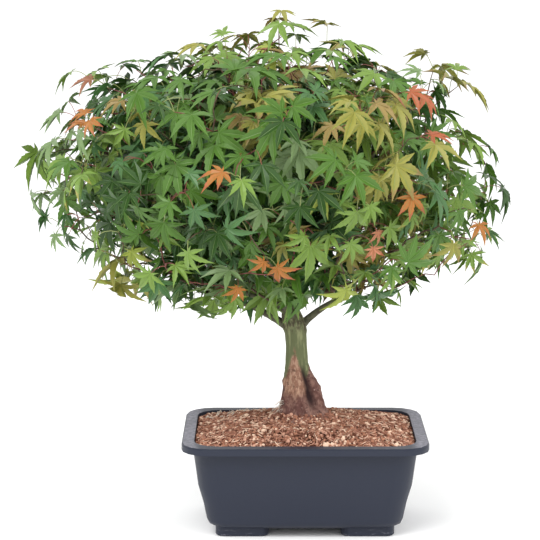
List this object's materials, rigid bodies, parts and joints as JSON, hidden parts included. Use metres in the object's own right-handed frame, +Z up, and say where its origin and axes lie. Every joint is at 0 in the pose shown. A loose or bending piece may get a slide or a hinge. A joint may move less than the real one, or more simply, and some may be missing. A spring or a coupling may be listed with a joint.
{
  "type": "japanese maple bonsai in a plastic pot",
  "caption": "Small maple tree with a flared trunk and a wide domed canopy of lobed leaves, in soil in a rectangular tapered plastic pot.",
  "frame": {"origin": "on the table, under the middle of the canopy's outline seen from above", "axes": "+Z up, +X to the right of the front view, +Y away from the front view"},
  "size_m": [0.4928, 0.4474, 0.5264],
  "materials": {
    "pot_plastic": "satin, faintly speckled",
    "soil": "rough granules",
    "bark": "rough bark",
    "leaves": "satin leaf"
  },
  "bodies": {
    "root": {"pot": "pot_plastic", "soil": "soil", "trunk": "bark", "bough_low_right": "bark", "bough_low_back_right": "bark", "bough_low_back_left": "bark", "bough_low_left": "bark", "bough_low_front_left": "bark", "bough_low_front": "bark", "bough_low_front_right": "bark", "bough_middle_right": "bark", "bough_middle_back_right": "bark", "bough_middle_back_left": "bark", "bough_middle_left": "bark", "bough_middle_front_left": "bark", "bough_middle_front_right": "bark", "bough_top_left": "bark", "bough_top_right": "bark", "bough_top_front": "bark", "foliage_low_right": "leaves", "foliage_low_back_right": "leaves", "foliage_low_back_left": "leaves", "foliage_low_left": "leaves", "foliage_low_front_left": "leaves", "foliage_low_front": "leaves", "foliage_low_front_right": "leaves", "foliage_middle_right": "leaves", "foliage_middle_back_right": "leaves", "foliage_middle_back_left": "leaves", "foliage_middle_left": "leaves", "foliage_middle_front_left": "leaves", "foliage_middle_front_right": "leaves", "foliage_top_left": "leaves", "foliage_top_right": "leaves", "foliage_top_front": "leaves"}
  },
  "joints": []
}
